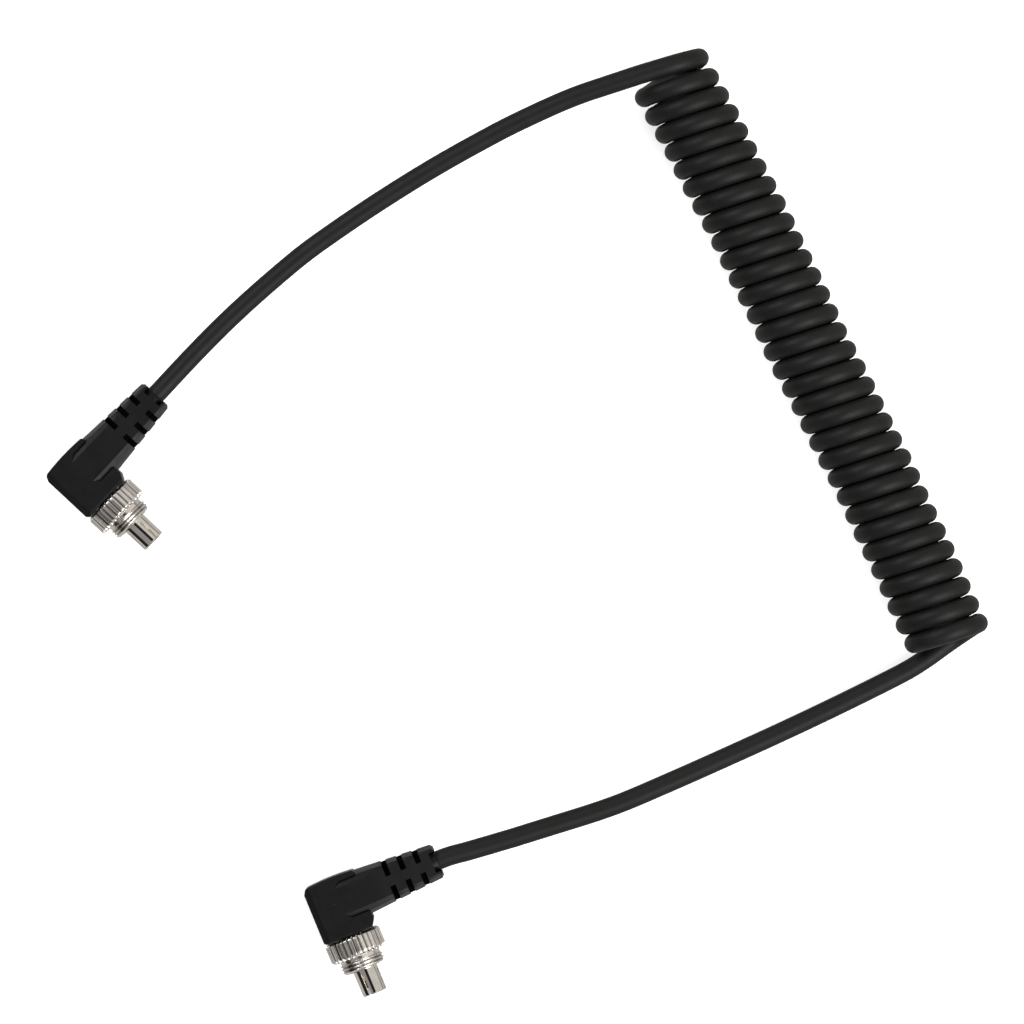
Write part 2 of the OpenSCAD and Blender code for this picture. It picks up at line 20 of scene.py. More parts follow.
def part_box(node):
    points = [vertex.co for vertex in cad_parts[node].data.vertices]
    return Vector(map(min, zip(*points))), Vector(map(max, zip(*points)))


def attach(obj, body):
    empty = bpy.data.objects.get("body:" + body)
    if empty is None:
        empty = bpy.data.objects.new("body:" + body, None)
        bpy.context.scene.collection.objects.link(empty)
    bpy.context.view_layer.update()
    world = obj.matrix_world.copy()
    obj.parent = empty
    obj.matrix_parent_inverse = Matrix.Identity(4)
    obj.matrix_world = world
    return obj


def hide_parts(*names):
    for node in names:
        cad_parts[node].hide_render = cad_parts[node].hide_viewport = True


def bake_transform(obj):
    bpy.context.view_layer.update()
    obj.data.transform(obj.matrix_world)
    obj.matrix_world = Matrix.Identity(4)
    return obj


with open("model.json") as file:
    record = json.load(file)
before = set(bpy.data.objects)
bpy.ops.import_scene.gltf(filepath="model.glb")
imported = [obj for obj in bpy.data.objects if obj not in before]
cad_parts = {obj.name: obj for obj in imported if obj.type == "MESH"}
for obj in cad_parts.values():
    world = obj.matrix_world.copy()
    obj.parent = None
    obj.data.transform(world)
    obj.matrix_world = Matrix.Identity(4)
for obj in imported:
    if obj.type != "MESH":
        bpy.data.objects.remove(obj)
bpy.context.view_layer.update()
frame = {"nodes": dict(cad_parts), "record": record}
scene = bpy.context.scene
MM = 0.001
random.seed(7)

# ---------------------------------------------------------------- sizes, mm
CABLE_R, WALL = 1.36, 0.40
SHIELD_R, SHIELD_W = 0.94, 0.14
GAP, COND_R = 0.02, 0.25
COIL_R = 6.02 - CABLE_R
PITCH, HALF_TURNS = 2.824, 63
COIL_BODIES = 6
# bends of each lead from the coil to its plug: (radius, degrees), where a negative
# radius turns the other way; radius 0 is a straight of the length given second
LEAD_A = [(-148, 2.31), (64, 13.63), (264.7, 5.55), (0, 1.0), (0, 2.2), (80, 8.3), (213, 4.1)]
LEAD_B = [
    (-38.5, 7.82), (-515.1, 2.69), (0, 1.0), (0, 2.2), (-700, 1.25), (-98.5, 10.55), (46, 9.9),
]
EASE_R = 60.0  # bend out of the level at the coil and back into it at the plug
PLUG_Z = 4.1
BOOT_L = 15.2
PAST_ELBOW = 0.45  # how far the cable's path runs on beyond the elbow
PLUG_RUN = BOOT_L + PAST_ELBOW

coil_low, coil_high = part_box("jacket_2")[0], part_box("jacket_5")[1]
mid_low, mid_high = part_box("jacket_3")
COIL_MID = ((coil_low[0] + coil_high[0]) / 2 / MM, (mid_low[1] + mid_high[1]) / 2 / MM)
TURN_R = math.sqrt(COIL_R**2 + PITCH**2 / 16)
COIL_Z = TURN_R + CABLE_R
TILT = math.degrees(math.atan(PITCH / 4 / COIL_R))
COIL_X0 = COIL_MID[0] - HALF_TURNS * PITCH / 4

# the picture's centre on the table, and the angle of its horizontal from X
VIEW_MID = (-0.946, 1.413)
VIEW_TURN = math.radians(63.75)

Z = np.array([0.0, 0.0, 1.0])


# ---------------------------------------------------------------- cable path
# A piece of path is (start, way, toward, radius, span): it leaves start along way and
# bends toward a unit vector by span degrees, or is a straight of span mm if radius is 0.
def unit(vector):
    return np.array(vector, float) / np.linalg.norm(vector)


def ease(t):
    t = np.clip(t, 0, 1)
    return t * t * (3 - 2 * t)


def piece_at(piece, fraction=1.0):
    """Point and heading at a fraction of a piece."""
    start, way, toward, radius, span = piece
    if radius == 0:
        return start + way * span * fraction, way
    angle = math.radians(span * fraction)
    point = start + radius * (way * math.sin(angle) + toward * (1 - math.cos(angle)))
    return point, way * math.cos(angle) + toward * math.sin(angle)


def sample(piece, step):
    """Points along a piece about step apart, without its end."""
    radius, span = piece[3:]
    length = span if radius == 0 else radius * math.radians(span)
    count = max(2, int(round(length / step)))
    return [piece_at(piece, i / count)[0] for i in range(count)]


def coil_piece(k):
    """Half turn k of the coil; the first and last are quarter turns."""
    if k == 0:
        top = np.array([COIL_X0, COIL_MID[1], COIL_Z + TURN_R])
        return top, unit([PITCH / 4, COIL_R, 0]), -Z, TURN_R, 90.0
    side = -1 if k % 2 == 0 else 1
    return (
        np.array([COIL_X0 + (2 * k - 1) * PITCH / 4, COIL_MID[1] + side * COIL_R, COIL_Z]),
        -side * Z,
        unit([PITCH / 4, -side * COIL_R, 0]),
        TURN_R,
        90.0 if k == HALF_TURNS else 180.0,
    )


def heading(degrees):
    return np.array([math.cos(math.radians(degrees)), math.sin(math.radians(degrees)), 0.0])


def lead(start, way, bends):
    """Pieces from the coil to a plug: leave the level, bend in a tilted plane, level out."""
    down = 1 if start[2] > PLUG_Z else -1
    drop = abs(start[2] - PLUG_Z)
    reach = turn = 0.0
    for radius, span in bends:
        if radius == 0:
            reach += span * math.cos(turn)
        else:
            step = math.radians(span) * (1 if radius > 0 else -1)
            reach += radius * (math.sin(turn + step) - math.sin(turn))
            turn += step
    # the slope that ends at the plug's height, found by iteration
    slope = 0.05
    for _ in range(30):
        end_slope = math.asin(math.sin(slope) * math.cos(turn))
        eased = EASE_R * (2 - math.cos(slope) - math.cos(end_slope))
        slope = math.asin((drop - eased) / reach)

    side = np.cross(Z, way)
    pieces = [(start, way, -down * Z, EASE_R, math.degrees(slope))]
    point, way = piece_at(pieces[-1])
    plane = np.cross(way, side)
    for radius, span in bends:
        toward = (-1 if radius < 0 else 1) * np.cross(plane, way)
        pieces.append((point, way, toward, abs(radius), span))
        point, way = piece_at(pieces[-1])
    levelling = math.degrees(math.asin(abs(way[2])))
    pieces.append((point, way, down * unit(Z - way[2] * way), EASE_R, levelling))
    point, way = piece_at(pieces[-1])
    pieces.append((point, way, np.cross(Z, way), 0, PLUG_RUN))
    return pieces


def lead_points(pieces):
    points = [point for piece in pieces for point in sample(piece, 0.8)]
    return points + [piece_at(pieces[-1])[0]]


pieces_a = lead(
    np.array([COIL_X0, COIL_MID[1], COIL_Z + TURN_R]), heading(270 - TILT), LEAD_A
)
pieces_b = lead(
    np.array([COIL_X0 + HALF_TURNS * PITCH / 2, COIL_MID[1], CABLE_R]),
    heading(270 + TILT),
    LEAD_B,
)
points = lead_points(pieces_a)[::-1][:-1]  # from plug A, without the coil's first point
coil_first = len(points)
for k in range(HALF_TURNS + 1):
    points += sample(coil_piece(k), 0.40)
coil_last = len(points)
points += lead_points(pieces_b)


def arc_length(line):
    return np.concatenate([[0], np.cumsum(np.linalg.norm(np.diff(line, axis=0), axis=1))])


def hump(distance, width, power=2):
    return np.exp(-((distance / width) ** power))


def settle(drawn):
    """A used cord isn't dead straight: shifts, in mm, that bow the coil and fill out the leads."""
    moved = drawn.copy()
    x, y = drawn[:, 0], drawn[:, 1]

    # the shifts of the coil fade in from y = 5 to y = 43
    in_coil = ease((y - 5.0) / 38.0)
    from_mid = (x - COIL_MID[0]) / 44.5  # about -1 to 1 over the coil
    turns = x / PITCH
    # sideways: raised overall, less toward the ends and in a dip at the middle
    ends = np.clip(np.abs(from_mid), 0, 1.15) ** 2
    moved[:, 1] += in_coil * (0.32 - 0.80 * ends - 0.34 * hump(from_mid, width=0.28))
    moved[:, 1] += in_coil * 0.05 * np.sin(turns * 1.31)
    # lengthways: a slight drift, an uneven spacing, and a gap after the first turns
    moved[:, 0] += in_coil * 0.12 * hump(from_mid, width=0.9, power=4)
    uneven = np.sin(turns * 0.83 + 0.6) * hump(from_mid, width=1.05, power=8)
    moved[:, 0] += in_coil * 0.035 * uneven
    first_turns = np.clip(1 - (x - COIL_X0 + 0.6) / (1.7 * PITCH), 0, 1) ** 1.5
    moved[:, 0] -= 0.42 * in_coil * first_turns

    # the leads lie in slightly fuller arcs than their drawn bends: humps placed by the
    # distance across the view, faded out over a few mm at the coil and at the boot
    run = arc_length(drawn)
    order = np.arange(len(drawn))
    cos_view, sin_view = math.cos(VIEW_TURN), math.sin(VIEW_TURN)
    across = (x - VIEW_MID[0]) * cos_view + (y - VIEW_MID[1]) * sin_view
    off_peak = across - 2.2
    fuller_a = 0.61 * hump(off_peak, width=np.where(off_peak < 0, 11.0, 8.4))
    fuller_a += 0.21 * hump(across + 33.5, width=4.5)
    fuller_a *= ease((run[coil_first] - run) / 7.0) * ease((run - PLUG_RUN) / 4.0)
    fuller_a *= order < coil_first
    fuller_b = 0.46 * hump(across + 3.6, width=5.6) + 0.27 * ease((across - 6.0) / 12.0)
    fuller_b *= ease((run - run[coil_last]) / 9.0) * ease((run[-1] - run - PLUG_RUN) / 4.5)
    fuller_b *= order >= coil_last
    moved[:, 0] += sin_view * (fuller_a + fuller_b)
    moved[:, 1] -= cos_view * (fuller_a + fuller_b)
    return moved


path = settle(np.array(points))
run = arc_length(path)
tangent = np.gradient(path, run, axis=0)
tangent /= np.linalg.norm(tangent, axis=1)[:, None]
# a normal carried along the path without twisting
normal = np.zeros_like(path)
normal[0] = unit(np.cross(Z, tangent[0]))
for i in range(len(path) - 1):
    normal[i + 1] = unit(normal[i] - np.dot(normal[i], tangent[i + 1]) * tangent[i + 1])
binormal = np.cross(tangent, normal)


# ---------------------------------------------------------------- mesh helpers
def link(o):
    scene.collection.objects.link(o)
    return o


@contextmanager
def editing(mesh):
    """Opens a mesh as a bmesh and writes it back."""
    bm = bmesh.new()
    bm.from_mesh(mesh)
    yield bm
    bm.to_mesh(mesh)
    bm.free()


def shade_smooth(bm, sharp_angle):
    """Smooth faces, with edges steeper than sharp_angle degrees kept sharp."""
    for face in bm.faces:
        face.smooth = True
    for edge in bm.edges:
        if len(edge.link_faces) == 2 and edge.calc_face_angle(0) > math.radians(sharp_angle):
            edge.smooth = False


def tube_faces(rings, sides, hollow):
    """Side walls first, then the two ends."""
    faces = []
    inside = rings * sides  # first vertex of the inner wall

    def wall(first, flip):
        for j in range(rings - 1):
            low, high = first + j * sides, first + (j + 1) * sides
            for k in range(sides):
                k2 = (k + 1) % sides
                a, b = (k2, k) if flip else (k, k2)
                faces.append((low + a, low + b, high + b, high + a))

    wall(0, False)
    if not hollow:
        faces.append(tuple(range(sides))[::-1])
        faces.append(tuple((rings - 1) * sides + k for k in range(sides)))
        return faces
    wall(inside, True)
    for j in (0, rings - 1):
        low = j * sides
        for k in range(sides):
            k2 = (k + 1) % sides
            face = (low + k, low + k2, inside + low + k2, inside + low + k)
            faces.append(face[::-1] if j == 0 else face)
    return faces


def tube(name, first, last, outer, inner, sides, step):
    """A closed sweep between two path samples, and each vertex's place along the run."""
    picked = np.array([*range(first, last, step), last])
    rings = len(picked)
    radii = [outer, inner] if inner > 0 else [outer]
    angle = np.arange(sides)[None, :, None] * 2 * math.pi / sides
    across, over = normal[picked][:, None, :], binormal[picked][:, None, :]
    spokes = np.cos(angle) * across + np.sin(angle) * over
    shells = [(path[picked][:, None, :] + r * spokes).reshape(-1, 3) for r in radii]
    vertex_run = np.tile(np.repeat(run[picked], sides), len(radii))

    mesh = bpy.data.meshes.new(name)
    verts = np.concatenate(shells) * MM
    mesh.from_pydata(verts.tolist(), [], tube_faces(rings, sides, inner > 0))
    mesh.update()
    smooth = np.zeros(len(mesh.polygons), bool)
    smooth[: (rings - 1) * sides * len(radii)] = True
    mesh.polygons.foreach_set("use_smooth", smooth)

    # UV in mm: U around the cable, V along it
    layer = mesh.uv_layers.new(name="UVMap")
    loops = np.zeros(len(mesh.loops), np.int32)
    mesh.loops.foreach_get("vertex_index", loops)
    around = (loops % sides) / sides
    for polygon in mesh.polygons:
        part = around[polygon.loop_start : polygon.loop_start + polygon.loop_total]
        if part.max() - part.min() > 0.5:  # the face crosses the seam
            part[part < 0.5] += 1.0
    uvs = np.stack([around * 2 * math.pi * outer, vertex_run[loops]], 1).astype(np.float32)
    layer.data.foreach_set("uv", uvs.ravel())

    # sharp edges where the walls meet the flat ends
    with editing(mesh) as bm:
        for edge in bm.edges:
            pair = edge.link_faces
            if len(pair) == 2 and pair[0].smooth != pair[1].smooth:
                edge.smooth = False
    return link(bpy.data.objects.new(name, mesh)), vertex_run


# ---------------------------------------------------------------- shader helpers
class Graph:
    """Adds nodes to a tree. An input takes a socket to link or a plain value."""

    def __init__(self, tree):
        self.tree = tree

    def feed(self, node, inputs):
        for key, value in inputs.items():
            socket = node.inputs[key]
            if isinstance(value, bpy.types.NodeSocket):
                self.tree.links.new(value, socket)
            else:
                socket.default_value = (*value, 1) if socket.type == "RGBA" else value

    def node(self, kind, inputs=None, **settings):
        node = self.tree.nodes.new("ShaderNode" + kind)
        for name, value in settings.items():
            setattr(node, name, value)
        self.feed(node, inputs or {})
        return node

    def mapping(self, vector, **inputs):
        return self.node("Mapping", {"Vector": vector, **inputs}).outputs["Vector"]

    def noise(self, vector, scale, detail=4.0, rough=0.5):
        inputs = {"Vector": vector, "Scale": scale, "Detail": detail, "Roughness": rough}
        return self.node("TexNoise", inputs).outputs["Fac"]

    def ramp(self, factor, *stops):
        """Colour ramp between two (position, colour) stops."""
        node = self.node("ValToRGB", {"Fac": factor})
        for element, (position, color) in zip(node.color_ramp.elements, stops):
            element.position = position
            element.color = (*color, 1)
        return node.outputs["Color"]

    def remap(self, value, source, target):
        inputs = {
            "Value": value,
            "From Min": source[0], "From Max": source[1],
            "To Min": target[0], "To Max": target[1],
        }
        return self.node("MapRange", inputs).outputs["Result"]

    def mix(self, factor, first, second):
        return self.node("Mix", {0: factor, 6: first, 7: second}, data_type="RGBA").outputs[2]

    def math(self, operation, first, second):
        return self.node("Math", {0: first, 1: second}, operation=operation).outputs[0]

    def bump(self, height, strength, depth_mm, under=None):
        inputs = {"Height": height, "Strength": strength, "Distance": depth_mm * MM}
        if under is not None:
            inputs["Normal"] = under
        return self.node("Bump", inputs).outputs["Normal"]


class Surface(Graph):
    """A new material with a Principled shader."""

    def __init__(self, name):
        self.material = bpy.data.materials.new(name)
        self.material.use_nodes = True
        super().__init__(self.material.node_tree)
        self.tree.nodes.clear()
        self.output = self.node("OutputMaterial")
        self.bsdf = self.node("BsdfPrincipled")
        self.feed(self.output, {0: self.bsdf.outputs[0]})
        self.coords = self.node("TexCoord")

    def object_mm(self):
        return self.mapping(self.coords.outputs["Object"], Scale=(1000, 1000, 1000))

    def wave(self, degrees, scale, distortion=0.0):
        """Stripes across the UV map, turned by an angle."""
        turned = self.mapping(self.coords.outputs["UV"], Rotation=(0, 0, math.radians(degrees)))
        inputs = {"Vector": turned, "Scale": scale, "Distortion": distortion}
        return self.node("TexWave", inputs).outputs["Fac"]

    def set(self, **inputs):
        """Feeds the Principled shader; underscores stand for spaces."""
        self.feed(self.bsdf, {key.replace("_", " "): value for key, value in inputs.items()})


# ---------------------------------------------------------------- materials
def rubber(name, dark, light, rough, grain, grain_mm, spec, specks=0.0):
    s = Surface(name)
    at = s.object_mm()
    color = s.ramp(s.noise(at, scale=0.35, detail=5, rough=0.6), (0.3, dark), (0.7, light))
    if specks > 0:
        # pale specks of dust, in patches
        cells = s.node("TexVoronoi", {"Scale": 1.1, "Vector": at})
        near = s.remap(cells.outputs["Distance"], (0.02, 0.055), (1.0, 0.0))
        patch = s.remap(s.noise(at, scale=0.8, detail=2), (0.62, 0.66), (0.0, 1.0))
        dust = s.math("MULTIPLY", s.math("MULTIPLY", near, patch), specks)
        color = s.mix(dust, color, (0.30, 0.30, 0.29))
    cloud = s.noise(at, scale=0.9, detail=5, rough=0.55)
    uneven = s.bump(s.noise(at, scale=1.4), strength=0.35, depth_mm=0.02)
    fine = s.noise(at, scale=grain, detail=6, rough=0.62)
    s.set(
        Base_Color=color,
        Roughness=s.remap(cloud, (0.25, 0.75), (rough - 0.05, rough + 0.06)),
        Specular_IOR_Level=spec,
        Normal=s.bump(fine, strength=0.6, depth_mm=grain_mm, under=uneven),
    )
    return s.material


def metal(name, dark, light, rough, scratch=0.35, grain=(9.0, 9.0, 9.0), recess=0.0, spread=1.0):
    s = Surface(name)
    at = s.object_mm()
    color = s.ramp(s.noise(at, scale=0.55, detail=6, rough=0.6), (0.32, dark), (0.68, light))
    if recess:
        # painted shade at the bottom of grooves: the base colour darkens toward near black with the
        # groove depth held in the recess attribute
        depth = s.node("Attribute", attribute_name="recess").outputs["Fac"]
        color = s.mix(s.remap(depth, (0.25, 0.95), (0.0, recess)), color, (0.030, 0.027, 0.024))
    streak = s.noise(s.mapping(at, Scale=grain), scale=1.0, detail=5, rough=0.7)
    s.set(
        Base_Color=color,
        Metallic=1.0,
        Roughness=s.remap(streak, (0.3, 0.75), (rough - 0.06 * spread, rough + 0.10 * spread)),
        Normal=s.bump(streak, strength=scratch, depth_mm=0.006),
    )
    return s.material


def braid(name):
    s = Surface(name)
    one, other = [s.wave(degrees, scale=2.6, distortion=0.25) for degrees in (32, -32)]
    weave = s.math("MAXIMUM", one, other)
    s.set(
        Base_Color=s.ramp(weave, (0.2, (0.16, 0.07, 0.03)), (0.75, (0.72, 0.40, 0.24))),
        Metallic=1.0,
        Roughness=s.remap(weave, (0, 1), (0.5, 0.25)),
        Normal=s.bump(weave, strength=0.9, depth_mm=0.04),
    )
    return s.material


def strands(name):
    s = Surface(name)
    lay = s.wave(12, scale=3.2)
    s.set(
        Base_Color=s.ramp(lay, (0.1, (0.22, 0.09, 0.04)), (0.8, (0.80, 0.42, 0.24))),
        Metallic=1.0,
        Roughness=s.remap(s.noise(s.object_mm(), scale=3.0), (0.3, 0.7), (0.2, 0.35)),
        Normal=s.bump(lay, strength=0.8, depth_mm=0.03),
    )
    return s.material


def plastic(name, dark, light, rough, subsurface=0.0):
    s = Surface(name)
    at = s.object_mm()
    cloud = s.noise(at, scale=0.4, detail=5, rough=0.6)
    grain = s.noise(at, scale=7.0, detail=6, rough=0.6)
    s.set(
        Base_Color=s.ramp(cloud, (0.3, dark), (0.7, light)),
        Roughness=s.remap(s.noise(at, scale=1.2), (0.3, 0.7), (rough - 0.05, rough + 0.07)),
        Normal=s.bump(grain, strength=0.5, depth_mm=0.008),
    )
    if subsurface:
        s.set(Subsurface_Weight=subsurface, Subsurface_Radius=(0.0006, 0.0005, 0.0004))
    return s.material


JACKET = rubber(
    "jacket_rubber", dark=(0.0062, 0.0062, 0.0061), light=(0.0090, 0.0089, 0.0087),
    rough=0.50, grain=9.0, grain_mm=0.010, specks=0.6, spec=0.165,
)
MOULD = rubber(
    "moulding", dark=(0.0042, 0.0042, 0.0043), light=(0.0064, 0.0064, 0.0065),
    rough=0.40, grain=6.0, grain_mm=0.012, specks=0.4, spec=0.135,
)
# painted shade: a near black, dull rubber for the faces down inside the strain relief slots
SLOT_SHADE = rubber(
    "moulding_slot_shade", dark=(0.0008, 0.0008, 0.0008), light=(0.0016, 0.0016, 0.0017),
    rough=0.75, grain=6.0, grain_mm=0.012, spec=0.03,
)
# the lock ring's nickel takes painted shade in its knurl grooves and thread valleys (recess)
NICKEL = metal(
    "nickel_plate", dark=(0.67, 0.64, 0.595), light=(0.83, 0.80, 0.755),
    rough=0.20, recess=0.55,
)
NICKEL_BARREL = metal(
    "nickel_barrel", dark=(0.66, 0.63, 0.58), light=(0.82, 0.79, 0.74),
    rough=0.06, scratch=0.05, spread=0.25,
)
GILT = metal("gold_flash", dark=(0.50, 0.35, 0.14), light=(0.70, 0.52, 0.24), rough=0.22)
STEEL = metal(
    "spring_steel", dark=(0.40, 0.40, 0.42), light=(0.58, 0.58, 0.60),
    rough=0.32, grain=(20, 20, 20),
)
SOLDER = metal(
    "solder", dark=(0.50, 0.50, 0.52), light=(0.70, 0.70, 0.71),
    rough=0.38, scratch=0.6, grain=(5, 5, 5),
)
FERRULE = metal("ferrule_nickel", dark=(0.55, 0.53, 0.50), light=(0.74, 0.72, 0.69), rough=0.30)
INSULATION = plastic(
    "insulation", dark=(0.74, 0.74, 0.70), light=(0.84, 0.84, 0.80), rough=0.42, subsurface=0.25
)
# painted shade: the barrel's insulator is near black so that the inside of the barrel, seen through
# its slots, shows dark
INSULATOR_IN_SHADE = plastic(
    "plug_insulation_in_shade", dark=(0.030, 0.028, 0.026), light=(0.055, 0.052, 0.048), rough=0.50
)
CORE = plastic("hard_core", dark=(0.11, 0.11, 0.12), light=(0.15, 0.15, 0.16), rough=0.48)
BRAID = braid("braided_shield")
STRANDS = strands("copper_strands")

# ---------------------------------------------------------------- cable pieces
SHIELD_IN = SHIELD_R - SHIELD_W
# name, material, slot, outer radius, inner radius, distance from the elbow at which
# the layer is cut, sides, path samples per ring
LAYERS = [
    ("jacket", JACKET, "jacket", CABLE_R, CABLE_R - WALL, 6.0, 32, 1),
    ("shield", BRAID, "braid", SHIELD_R, SHIELD_IN, 3.5, 16, 2),
    ("dielectric", INSULATION, "insulation", SHIELD_IN - GAP, COND_R + GAP, 1.6, 14, 2),
    ("conductor", STRANDS, "copper", COND_R, 0.0, -PAST_ELBOW, 10, 2),
]
HELD = 1.0  # length past a boot over which the blend weight holds its plug-end value
run_coil0, run_coil1 = run[coil_first], run[coil_last]
run_held_b = run[-1] - PLUG_RUN - HELD
cuts = [
    coil_first + int(round((coil_last - coil_first) * g / (COIL_BODIES - 1)))
    for g in range(COIL_BODIES)
]


def weight_a(at):
    return ease((at - PLUG_RUN - HELD) / (run_coil0 - PLUG_RUN - HELD))


def weight_b(at):
    return ease((at - run_coil1) / (run_held_b - run_coil1))


def cable_piece(layer, part, span, weight, nodes):
    """One tube of one layer; its blend weight between two bodies is worked out but not applied, and
    the CAD pieces it stands for are hidden.
    """
    kind, material, slot, outer, inner, _, sides, step = layer
    o, vertex_run = tube(kind + "_cable_" + part, *span, outer, inner, sides, step)
    o.data.materials.append(material)
    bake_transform(o)
    blend = weight(vertex_run).astype(np.float32)
    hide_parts(*[kind + "_" + node for node in nodes])


for layer in LAYERS:
    cut = layer[5]
    first = int(np.searchsorted(run, cut + PAST_ELBOW))
    last = int(np.searchsorted(run, run[-1] - (PAST_ELBOW + cut)))
    cable_piece(
        layer, "lead_a", (first, coil_first),
        weight_a, ("lead_a", "1"),
    )
    for g in range(COIL_BODIES - 1):
        low, high = run[cuts[g]], run[cuts[g + 1]]
        here, following = str(g + 1), str(g + 2)
        cable_piece(
            layer, "coil_" + here, (cuts[g], cuts[g + 1]),
            lambda at: np.clip((at - low) / (high - low), 0, 1), (here, following),
        )
    cable_piece(
        layer, "lead_b", (coil_last, last),
        weight_b, ("lead_b", "6"),
    )

# ---------------------------------------------------------------- lock ring
RING_X, RING_L, NOSE_L = 5.05, 2.95, 1.95
NOSE_X = RING_X + RING_L
TIP_X = NOSE_X + NOSE_L
RING_R, THREAD_R, BORE_R = 4.05, 3.12, 2.25
KNURLS, KNURL_DEPTH = 32, 0.25
THREAD_PITCH, THREAD_DEPTH = 0.5, 0.25
ROOT_R = THREAD_R - THREAD_DEPTH
CLIP_X, CLIP_W = RING_X + 1.2, 0.5
GROOVE_X0, GROOVE_X1 = CLIP_X - 0.02, CLIP_X + CLIP_W + 0.02
GROOVE_R = BORE_R + 0.42
RING_SIDES = 512

# closed outline: x, radius, points from here to the next station, surface
RING_OUTLINE = [
    (RING_X, BORE_R, 3, "plain"),
    (RING_X, RING_R - 0.42, 2, "knurl"),
    (RING_X + 0.06, RING_R - 0.30, 5, "knurl"),
    (RING_X + 0.30, RING_R - 0.03, 2, "knurl"),
    (RING_X + 0.38, RING_R, 6, "knurl"),
    (NOSE_X - 0.38, RING_R, 2, "knurl"),
    (NOSE_X - 0.30, RING_R - 0.03, 5, "knurl"),
    (NOSE_X - 0.05, RING_R - 0.32, 2, "knurl"),
    (NOSE_X, RING_R - 0.42, 3, "plain"),
    (NOSE_X, ROOT_R + 0.05, 2, "plain"),
    (NOSE_X + 0.05, ROOT_R, 3, "plain"),
    (NOSE_X + 0.45, ROOT_R, 44, "thread"),
    (TIP_X - 0.12, ROOT_R, 3, "plain"),
    (TIP_X, ROOT_R - 0.12, 3, "plain"),
    (TIP_X, BORE_R + 0.06, 2, "plain"),
    (TIP_X - 0.06, BORE_R, 4, "plain"),
    (GROOVE_X1, BORE_R, 2, "plain"),
    (GROOVE_X1, GROOVE_R, 2, "plain"),
    (GROOVE_X0, GROOVE_R, 2, "plain"),
    (GROOVE_X0, BORE_R, 3, "plain"),
]


def ring_surface(x, r, kind, angle):
    """Radius and recess around the ring at one point of its outline."""
    if kind == "knurl":
        across = (angle * KNURLS / (2 * math.pi)) % 1.0
        groove = np.clip((np.abs(across - 0.5) - 0.30) / 0.18, 0, 1)
        groove = groove * (1.25 - 0.25 * groove)
        # the grooves run out down the chamfers
        cut = np.clip((r - (RING_R - 0.45)) / 0.3, 0, 1)
        return r - KNURL_DEPTH * groove * cut, groove * cut
    if kind == "thread":
        across = ((x - NOSE_X) / THREAD_PITCH - angle / (2 * math.pi)) % 1.0
        crest = ease(1 - np.abs(across - 0.5) * 2)
        # the thread fades in and out at its ends
        fade = np.clip((x - NOSE_X - 0.5) / 0.15, 0, 1) * np.clip((TIP_X - 0.10 - x) / 0.2, 0, 1)
        return r + THREAD_DEPTH * crest * fade, (1 - crest) * fade
    return np.full(len(angle), r), np.zeros(len(angle))


def lock_ring(name):
    """The knurled, threaded ring, turned about the plug's X axis."""
    sides = RING_SIDES
    angle = np.arange(sides) * 2 * math.pi / sides
    rows, recess = [], []
    following = RING_OUTLINE[1:] + RING_OUTLINE[:1]
    for (x0, r0, count, kind), (x1, r1, *_) in zip(RING_OUTLINE, following):
        for i in range(count):
            x = x0 + (x1 - x0) * (i / count)
            radius, deep = ring_surface(x, r0 + (r1 - r0) * (i / count), kind, angle)
            row = [np.full(sides, x), radius * np.sin(angle), radius * np.cos(angle)]
            rows.append(np.stack(row, 1))
            recess.append(deep)
    faces = []
    for j in range(len(rows)):
        here, beyond = j * sides, (j + 1) % len(rows) * sides
        for k in range(sides):
            k2 = (k + 1) % sides
            faces.append((here + k, beyond + k, beyond + k2, here + k2))
    mesh = bpy.data.meshes.new(name)
    mesh.from_pydata(np.concatenate(rows).tolist(), [], faces)
    # the groove depth of each vertex, which the nickel material turns into painted shade
    values = np.concatenate(recess).astype(np.float32)
    mesh.attributes.new("recess", "FLOAT", "POINT").data.foreach_set("value", values)
    with editing(mesh) as bm:
        bmesh.ops.recalc_face_normals(bm, faces=bm.faces)
        shade_smooth(bm, 32)
    return link(bpy.data.objects.new(name, mesh))


# ---------------------------------------------------------------- plug moulding
HEAD_T, HEAD_Y, BOOT_T1 = 4.1, 3.9, 2.45  # half height of the head, where the taper starts, its end
FLAT, FLAT1 = 1.92, 1.728  # half width of the flat top at the head and at the boot's end
FLANK_SLOPE = 0.50
SLOT_Y, SLOT_PITCH, SLOT_W, SLOTS = 8.05, 2.27, 0.80, 3
BARREL_R = 1.75


def plug_frame(letter):
    """From a plug's own frame, in mm, to the scene; from the axis its lock ring spins on."""
    joints = frame["record"]["behaviour"]["joints"]
    joint = next(j for j in joints if j["name"] == "ring_spin_" + letter)
    elbow = np.array(joint["pos_m"], float) / MM
    turn = Matrix.Rotation(math.atan2(joint["axis"][1], joint["axis"][0]), 4, "Z")
    return Matrix.Translation(Vector(elbow) * MM) @ turn @ Matrix.Scale(MM, 4)


